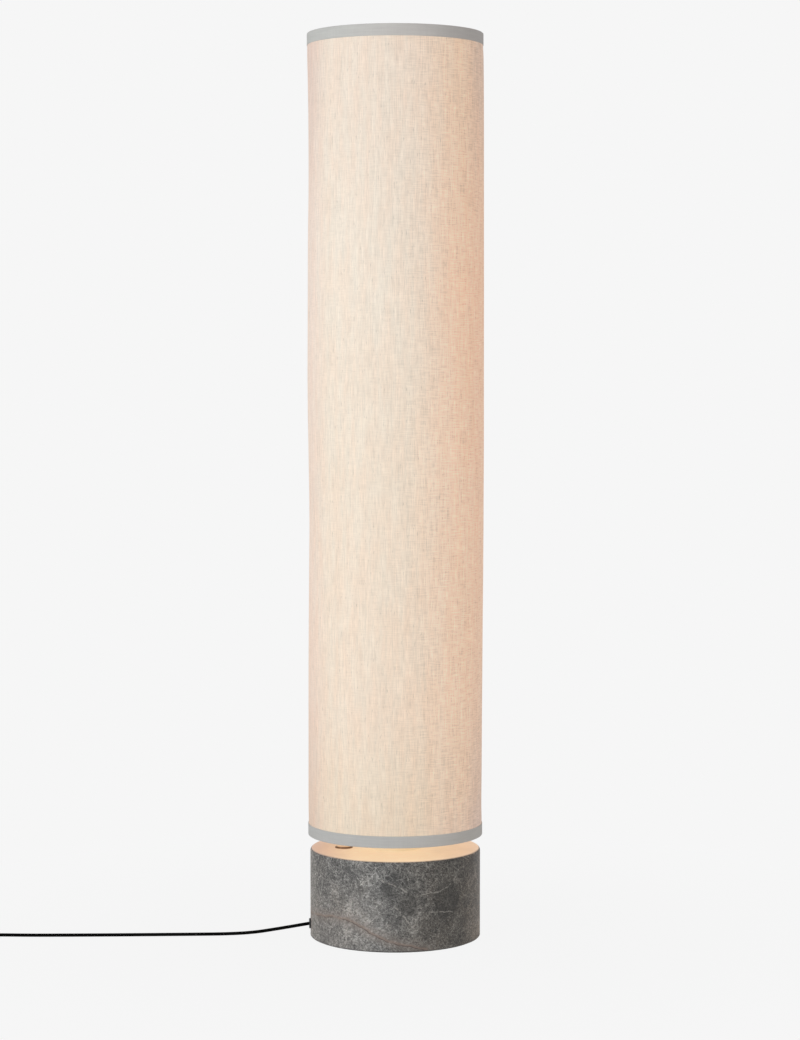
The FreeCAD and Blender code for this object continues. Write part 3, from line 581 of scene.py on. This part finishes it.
def linen():
    """Undyed linen over a warm light, with slubbed warp threads and a plain weft."""
    made, tree, shader = material("linen", Roughness=0.95, Sheen_Weight=0.12, Sheen_Roughness=0.5,
                                  Emission_Strength=1.0)
    around, z = round_the_shade(tree)
    right = tree.sideways(tree.place())
    warp = threads(tree, around, z, 740, 0.020, 0.0)
    slub = threads(tree, around, z, 330, 0.045, 7.3, 3.0)
    weft = threads(tree, z, around, 740, 0.016, 13.1)
    broad = threads(tree, around, z, 50, 0.25, 21.0)
    speck = threads(tree, around, z, 560, 0.010, 31.0, 1.0)

    # how light the threads are, with more of the weft and more contrast at the right
    weft_share = tree.spread(right, -0.04, 0.10, 0.42, 1.0, smooth=True)
    level = tree.math("ADD", swing(tree, warp, 0.40), swing(tree, slub, 0.22))
    level = tree.math("ADD", level, swing(tree, broad, 0.07))
    level = tree.math("ADD", level, tree.math("MULTIPLY", swing(tree, weft, 0.44), weft_share))
    level = tree.math("MULTIPLY", level, tree.spread(right, -0.02, 0.10, 1.0, 1.45, smooth=True))
    level = tree.math("SUBTRACT", tree.math("ADD", 1.0, level), tree.spread(speck, 0.66, 0.76, 0.0, 0.20))

    # painted shade at the two sides, deeper towards the shade's ends
    far = tree.math("ABSOLUTE", tree.math("SUBTRACT", z, (SHADE_BOTTOM + SHADE_TOP) / 2))
    end = tree.spread(far, 0.25, 0.55, smooth=True)
    shaded_left_edge = tree.spread(right, -0.113, -0.085, 1.0, 0.0, smooth=True)
    shaded_right_edge = tree.spread(right, 0.085, 0.113, smooth=True)
    edge = tree.mix(shaded_left_edge, (1.0, 1.0, 1.0), tree.mix(end, (1.0, 0.955, 0.98), (0.92, 0.85, 0.87)))
    edge = tree.mix(shaded_right_edge, edge, tree.mix(end, (0.97, 0.95, 0.96), (0.83, 0.85, 0.93)))

    hue = tree.spread(threads(tree, around, z, 70, 0.09, 51.0), 0.38, 0.62)
    cloth = tree.mix(hue, (0.575, 0.545, 0.510), (0.565, 0.570, 0.545))
    cloth = tree.multiplied(cloth, edge)
    tree.plug(shader, "Base Color", tree.shaded(cloth, level))

    # the painted glow through the cloth, by height at the left and at the right
    height = tree.spread(z, SHADE_BOTTOM, SHADE_TOP)
    up_left = tree.ramp(height, [
        (0.0, (0.84, 0.78, 0.52)), (0.06, (0.93, 0.90, 0.72)), (0.16, (1.01, 1.00, 0.98)),
        (0.45, (1.0, 1.06, 1.12)), (0.68, (1.0, 1.13, 1.36)), (0.97, (0.92, 0.93, 1.02))])
    up_right = tree.ramp(height, [
        (0.0, (0.86, 0.84, 0.90)), (0.06, (0.93, 0.93, 0.92)), (0.16, (1.03, 1.01, 1.0)),
        (0.45, (1.06, 1.00, 0.97)), (0.68, (1.05, 0.94, 0.84)), (0.97, (0.96, 0.94, 0.90))])
    up = tree.mix(tree.spread(right, 0.02, 0.08, smooth=True), up_left, up_right)
    across = tree.mix(tree.spread(right, -0.02, 0.11, smooth=True), (0.330, 0.211, 0.113),
                      (0.446, 0.254, 0.129))
    painted_glow = tree.multiplied(tree.multiplied(across, up), edge)
    tree.plug(shader, "Emission Color", tree.shaded(painted_glow, level))

    fine = tree.math("ADD", threads(tree, around, z, 1500, 0.012, 41.0),
                     threads(tree, z, around, 1500, 0.012, 47.0))
    relief = tree.math("ADD", weft, tree.math("MULTIPLY", fine, 0.5))
    relief = tree.math("ADD", tree.math("ADD", warp, slub), relief)
    tree.plug(shader, "Normal", tree.bump(relief, 0.30, 0.0005))
    return made


def lining():
    """Pale styrene backing of the linen, with the cloth's weft faint on it."""
    made, tree, shader = material("lining", Roughness=0.6)
    around, z = round_the_shade(tree)
    cloud = tree.noise(tree.place(), 18, 3, 0.55)
    weft = threads(tree, z, around, 500, 0.03, 3.0)
    tone = tree.mix(cloud, (0.80, 0.77, 0.71), (0.88, 0.85, 0.79))
    tone = tree.mix(tree.spread(weft, 0.35, 0.7, 0.0, 0.2), tone, (0.70, 0.64, 0.56))
    tree.plug(shader, "Base Color", tone)
    tree.plug(shader, "Normal", tree.bump(weft, 0.1, 0.0002))
    return made


def tape():
    """Cool grey grosgrain tape: ribs across its width, an uneven tone and a faint painted glow, stronger at
    the right.
    """
    made, tree, shader = material("tape", Roughness=0.9, Sheen_Weight=0.1, Emission_Strength=1.0)
    around, z = round_the_shade(tree)
    rib = threads(tree, around, z, 900, 0.05, 5.0, 1.0)
    fine = threads(tree, z, around, 520, 0.045, 9.0)
    broad = threads(tree, around, z, 45, 0.6, 15.0)
    tone = tree.mix(rib, (0.465, 0.470, 0.462), (0.555, 0.558, 0.550))
    tone = tree.mix(tree.spread(fine, 0.35, 0.7, 0.0, 0.55), tone, (0.42, 0.42, 0.42))
    tone = tree.mix(tree.spread(broad, 0.35, 0.7, 0.0, 0.3), tone, (0.56, 0.56, 0.55))
    tree.plug(shader, "Base Color", tone)
    # painted light: emission that lightens both ribbons towards the right, the lower one most
    right = tree.sideways(tree.place())
    low = tree.spread(right, -0.05, 0.09, smooth=True)
    low = tree.mix(low, (0.0, 0.0, 0.0), (0.080, 0.066, 0.052))
    high = tree.spread(right, -0.09, 0.02, smooth=True)
    high = tree.mix(high, (0.030, 0.035, 0.028), (0.066, 0.048, 0.040))
    height = tree.spread(z, SHADE_BOTTOM, SHADE_TOP)
    tree.plug(shader, "Emission Color", tree.mix(height, low, high))
    tree.plug(shader, "Normal", tree.bump(tree.math("ADD", rib, fine), 0.4, 0.0004))
    return made


# ---------------------------------------------------------------- shade
TURN = 2 * math.pi
OVERLAP = math.radians(3.4)
CLOTH_SEAM = math.radians(88)
RIBBON_SEAM = math.radians(95)
TAPE_PLAY = 0.00018

# Where the photograph has the shade's two edges, in degrees round the axis, and how far round a wave reaches.
LEFT_EDGE = 174
RIGHT_EDGE = -6
EDGE_WIDTH = 42
# How far the cloth stands out of its round at those edges: (height, metres).
LEFT_WAVE = [(0.158, 0.0), (0.180, 0.0003), (0.280, 0.0002), (0.340, 0.0), (0.420, -0.0006), (0.500, -0.0010),
             (0.545, -0.0015), (0.585, -0.0013), (0.660, -0.0003), (0.705, 0.0004), (0.750, 0.0008),
             (0.820, 0.0005), (0.900, 0.0), (0.945, -0.0004), (0.985, -0.0012), (1.020, -0.0014),
             (1.070, -0.0013), (1.100, -0.0011), (1.140, -0.0004), (1.175, 0.0003), (1.184, 0.0)]
RIGHT_WAVE = [(0.158, 0.0), (0.180, -0.0004), (0.223, 0.0001), (0.263, 0.0003), (0.303, 0.0004),
              (0.344, 0.0007), (0.424, 0.0010), (0.464, 0.0014), (0.504, 0.0017), (0.550, 0.0020),
              (0.980, 0.0020), (1.060, 0.0018), (1.100, 0.0016), (1.140, 0.0013), (1.175, 0.0008),
              (1.184, 0.0)]
WAVE_LOW = LEFT_WAVE[0][0]
WAVE_HIGH = LEFT_WAVE[-1][0]
WAVE_FADE = 0.06
SOFT_WAVE = 0.0004


def read_off(table, z):
    """Value of a table of (height, value) at z."""
    if z <= table[0][0] or z >= table[-1][0]:
        return 0.0
    for (z0, v0), (z1, v1) in zip(table, table[1:]):
        if z <= z1:
            return v0 + (v1 - v0) * (z - z0) / (z1 - z0)


def wave(angle, z):
    """How far the cloth stands out of its round at an angle and a height."""
    def near(edge):
        away = (math.degrees(angle) - edge + 180) % 360 - 180
        return math.exp(-(away / EDGE_WIDTH) ** 2)
    ends = min(1.0, max(0.0, (z - WAVE_LOW) / WAVE_FADE), max(0.0, (WAVE_HIGH - z) / WAVE_FADE))
    soft = noise.noise(Vector((math.cos(angle) * 1.6, math.sin(angle) * 1.6, z * 6))) * SOFT_WAVE * ends
    return near(LEFT_EDGE) * read_off(LEFT_WAVE, z) + near(RIGHT_EDGE) * read_off(RIGHT_WAVE, z) + soft


def wound_strip(name, section, start, sweep, steps, made, lift=0.0, lift_sweep=0.0, lift_up=0.0,
                closed=False, shaped=None, follows=True):
    """Sweeps a closed section of (radius, z) points round the axis as one solid strip.

    The last lift_sweep of the strip stands lift further out, and lift_up higher, over its own start.
    Its step up takes a quarter of that. follows gives the strip the cloth's waves, and shaped adds more.
    """
    points = []
    faces = []
    count = len(section)
    rows = steps if closed else steps + 1
    for i in range(rows):
        angle = start + sweep * i / steps
        over = 0.0
        if lift:
            over = min(1.0, max(0.0, (angle - start - sweep + lift_sweep) / (0.25 * lift_sweep)))
        for radius, z in section:
            out = wave(angle, z) if follows else 0.0
            fold = shaped(angle, radius, z) if shaped else 0.0
            points.append(round_axis(radius + out + lift * over + fold, angle, z + lift_up * over))
    for i in range(steps):
        a, b = i * count, ((i + 1) % rows) * count
        for j in range(count):
            k = (j + 1) % count
            faces.append((a + j, b + j, b + k, a + k))
    if not closed:
        faces.append(tuple(range(count)))
        faces.append(tuple(reversed(range((rows - 1) * count, rows * count))))
    return mesh_piece(name, points, faces, made)


def wall_section(inner, outer, low, high, steps):
    """A thin upright wall's section, with steps rows of faces up each side."""
    rows = [low + (high - low) * i / steps for i in range(steps + 1)]
    return [(outer, z) for z in rows] + [(inner, z) for z in reversed(rows)]


def ribbon_section(edge, inward):
    """The tape's section: up the cloth's face, round the edge and in over the ring."""
    lie = FABRIC_RADIUS
    out = lie + RIBBON_THICKNESS
    lip = RING_RADIUS - RING_WIRE_RADIUS
    fold = 0.0009
    bevel = 0.0003
    far = edge + inward * RIBBON_WIDTH
    bend = [(out - fold * (1 - math.sin(t)), edge + inward * fold * (1 - math.cos(t)))
            for t in [math.pi / 2 * i / 5 for i in range(6)]]
    section = [(lip, edge)] + bend + [(out, edge + inward * RIBBON_WIDTH * i / 6) for i in range(1, 6)]
    section += [(out, far - inward * bevel), (out - bevel, far), (lie, far)]
    section += [(lie, edge + inward * RIBBON_THICKNESS), (lip, edge + inward * RIBBON_THICKNESS)]
    return section if inward > 0 else list(reversed(section))


def tape_play(angle, radius, z):
    """Small unevenness of the tape's outer face."""
    if radius < FABRIC_RADIUS + RIBBON_THICKNESS / 2:
        return 0.0
    return TAPE_PLAY * noise.noise(Vector((math.cos(angle) * 9, math.sin(angle) * 9, z * 40)))


def make_ribbon(name, edge, inward, made):
    """The tape on one edge of the shade. inward is 1 where the shade lies above that edge, and else -1."""
    return wound_strip(name, ribbon_section(edge, inward), RIBBON_SEAM, TURN + OVERLAP, 360, made,
                       lift=RIBBON_THICKNESS, lift_sweep=OVERLAP, lift_up=-inward * RIBBON_THICKNESS / 2,
                       shaped=tape_play, follows=False)


def make_shade():
    """The linen on its styrene backing, with a ribbon on each edge."""
    cloth_low = SHADE_BOTTOM + RIBBON_THICKNESS
    cloth_high = SHADE_TOP - RIBBON_THICKNESS
    liner_radius = FABRIC_RADIUS - FABRIC_THICKNESS
    glue_gap = 0.00005
    grey = tape()
    bottom = make_ribbon("bottom_ribbon", SHADE_BOTTOM, 1, grey)
    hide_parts("bottom_trim")
    top = make_ribbon("top_ribbon", SHADE_TOP, -1, grey)
    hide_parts("top_trim")
    wall = wall_section(liner_radius, FABRIC_RADIUS, cloth_low, cloth_high, 110)
    cloth = wound_strip("linen_shade", wall, CLOTH_SEAM, TURN + OVERLAP, 240, linen(),
                        lift=FABRIC_THICKNESS, lift_sweep=OVERLAP)
    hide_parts("shade_fabric")
    wall = wall_section(liner_radius - LINER_THICKNESS, liner_radius - glue_gap, cloth_low, cloth_high, 60)
    backing = wound_strip("shade_lining", wall, 0.0, TURN, 180, lining(), closed=True)
    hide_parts("shade_liner")


# ---------------------------------------------------------------- return spring
def make_return_spring(made):
    """The button's spring as a round wire, in place of the imported one."""
    low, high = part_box("button_spring")
    radius = (high[1] - low[1] - SPRING_WIRE) / 2
    centre = Vector(((low[0] + high[0]) / 2, (low[1] + high[1]) / 2, low[2] + SPRING_WIRE / 2))
    climb = high[2] - low[2] - SPRING_WIRE
    steps = 36 * SPRING_TURNS
    sides = 10
    points = []
    faces = []
    for i in range(steps + 1):
        turn = 2 * math.pi * SPRING_TURNS * i / steps
        middle = centre + Vector(round_axis(radius, turn, climb * i / steps))
        for j in range(sides):
            round_wire = 2 * math.pi * j / sides
            out = Vector(round_axis(SPRING_WIRE / 2 * math.cos(round_wire), turn, 0))
            points.append(middle + out + Vector((0, 0, SPRING_WIRE / 2 * math.sin(round_wire))))
    for i in range(steps):
        for j in range(sides):
            k = (j + 1) % sides
            faces.append((i * sides + j, i * sides + k, (i + 1) * sides + k, (i + 1) * sides + j))
    faces.append(tuple(reversed(range(sides))))
    faces.append(tuple(range(steps * sides, (steps + 1) * sides)))
    piece = mesh_piece("return_spring", points, faces, made)
    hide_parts("button_spring")
    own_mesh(piece)


# ---------------------------------------------------------------- floor, world and lights
BACKGROUND = (0.922, 0.922, 0.922)
FLOOR_COLOUR = (0.86, 0.86, 0.86)
FLOOR_HALF = 6.0
SKY_STRENGTH = 0.42
AIM_HEIGHT = 0.60


def seen_ray(tree):
    """1 on rays of the camera, of reflections and through glass, and 0 on rays that light the lamp."""
    path = tree.nodes.new("ShaderNodeLightPath").outputs
    indirect = tree.math("ADD", path["Is Glossy Ray"], path["Is Transmission Ray"])
    return tree.math("ADD", path["Is Camera Ray"], indirect, clamp=True)


def make_floor():
    """A pale floor that shows the background colour, with the lamp's faint shadow near it."""
    made, tree, shader = material("floor", Roughness=1.0, Specular_IOR_Level=0.0)
    tree.plug(shader, "Base Color", (*FLOOR_COLOUR, 1))
    away = tree.vector("LENGTH", tree.place(), output=1)
    own = tree.spread(away, 0.12, 0.8, 0.03, 0.0, smooth=True)
    flat = tree.put("Emission", {"Color": (*BACKGROUND, 1), "Strength": 1.0})
    shown = tree.math("MULTIPLY", seen_ray(tree), tree.math("SUBTRACT", 1.0, own))
    surface = tree.put("MixShader", {0: shown, 1: shader.outputs[0], 2: flat})
    tree.links.new(surface, tree.nodes["Material Output"].inputs[0])
    steps = 24
    row = steps + 1
    places = [-FLOOR_HALF + 2 * FLOOR_HALF * i / steps for i in range(row)]
    points = [(x, y, 0.0) for y in places for x in places]
    faces = [(j * row + i, j * row + i + 1, (j + 1) * row + i + 1, (j + 1) * row + i)
             for j in range(steps) for i in range(steps)]
    mesh = bpy.data.meshes.new("floor")
    mesh.from_pydata(points, [], faces)
    floor = bpy.data.objects.new("floor", mesh)
    bpy.context.scene.collection.objects.link(floor)
    dress(floor, made)


def make_world():
    """Soft light from all round, behind a plain background."""
    world = bpy.data.worlds.new("studio")
    bpy.context.scene.world = world
    world.use_nodes = True
    tree = Tree(world)
    light = tree.put("Background", {"Color": (1.0, 0.995, 0.985, 1), "Strength": SKY_STRENGTH})
    shown = tree.put("Background", {"Color": (*BACKGROUND, 1), "Strength": 1.0})
    mixed = tree.put("MixShader", {0: seen_ray(tree), 1: light, 2: shown})
    tree.links.new(mixed, tree.nodes["World Output"].inputs[0])


def area_light(name, azimuth, distance, height, size, energy, colour):
    """A soft square light that faces the lamp. Its azimuth counts from the camera, to the right."""
    data = bpy.data.lights.new(name, "AREA")
    data.shape = "SQUARE"
    data.size = size
    data.energy = energy
    data.color = colour
    light = bpy.data.objects.new(name, data)
    a = math.radians(azimuth) + VIEW
    light.location = (math.sin(a) * distance, -math.cos(a) * distance, height)
    aim = Vector((0, 0, AIM_HEIGHT)) - light.location
    light.rotation_euler = aim.to_track_quat("-Z", "Y").to_euler()
    bpy.context.scene.collection.objects.link(light)


make_world()
make_floor()
area_light("key", azimuth=-40, distance=3.6, height=1.4, size=2.4, energy=68, colour=(1.0, 0.995, 0.985))
area_light("fill", azimuth=30, distance=4.0, height=1.2, size=2.4, energy=5, colour=(1.0, 0.98, 0.96))

# ---------------------------------------------------------------- pieces, and the finishes of the CAD nodes
jacket = cord_jacket()
make_cord(jacket)
make_shade()

black_steel = plastic("black_enamel", (0.018, 0.018, 0.018), 0.4)
zinc = metal("zinc", (0.62, 0.63, 0.64), 0.35)
bronze = metal("bronze", (0.30, 0.19, 0.13), 0.42)
aluminium = metal("aluminium", (0.80, 0.81, 0.82), 0.32, brushed=0.98, grain=1600)
enamel = plastic("white_enamel", (0.82, 0.81, 0.78), 0.3)
# the column foot gets a warm painted glow for the lamp's light that falls on it
foot_enamel = plastic("foot_enamel", (0.80, 0.76, 0.68), 0.35, painted_glow=(0.26, 0.17, 0.07))
board = plastic("led_board", (0.82, 0.82, 0.79), 0.45)
lens = plastic("led_lens", (0.85, 0.66, 0.22), 0.2)
spring = metal("spring_steel", (0.55, 0.56, 0.58), 0.22)
black = plastic("black_plastic", (0.016, 0.016, 0.016), 0.42)
white = plastic("white_plastic", (0.80, 0.80, 0.77), 0.4)
lead = plastic("lead_jacket", (0.66, 0.66, 0.63), 0.45)
make_return_spring(spring)
brass = metal("finial_brass", (0.62, 0.47, 0.30), 0.3, grain=1200)

DRESSED = {
    marble(): ["marble_base"],
    felt(): ["foot_pad"],
    opal(): ["diffuser_tube"],
    hook_strap(): ["coil_tie"],
    jacket: ["mains_lead"],
    black_steel: ["cover_plate"],
    zinc: ["cover_screws", "driver_screws", "rod_washer", "rod_nut", "tie_rod", "top_stud", "cap_nut",
           "hub_nut", "gland_nut", "barrel_nut"],
    button_brass(): ["dimmer_button"],
    bronze: ["button_barrel"],
    brass: ["cover_inserts", "plug_blades", "finial_nut", "hub_washer"],
    aluminium: ["column_profile"],
    foot_enamel: ["column_foot"],
    enamel: ["top_ring", "bottom_ring", "top_spider", "bottom_spider"],
    board: ["led_strips"],
    lens: ["led_chips"],
    spring: ["button_clip"],
    black: ["cord_gland", "plug_body", "dimmer_module"],
    white: ["terminal_block", "led_driver", "diffuser_lower_cap", "diffuser_upper_cap"],
    lead: ["supply_lead", "led_lead", "dimmer_lead"],
}
for made, names in DRESSED.items():
    for name in names:
        piece = nodes[name]
        if not piece.material_slots:
            piece.data.materials.append(made)
        for material_slot in piece.material_slots:
            material_slot.material = made

bpy.context.scene.view_settings.view_transform = "Standard"
bpy.context.view_layer.update()
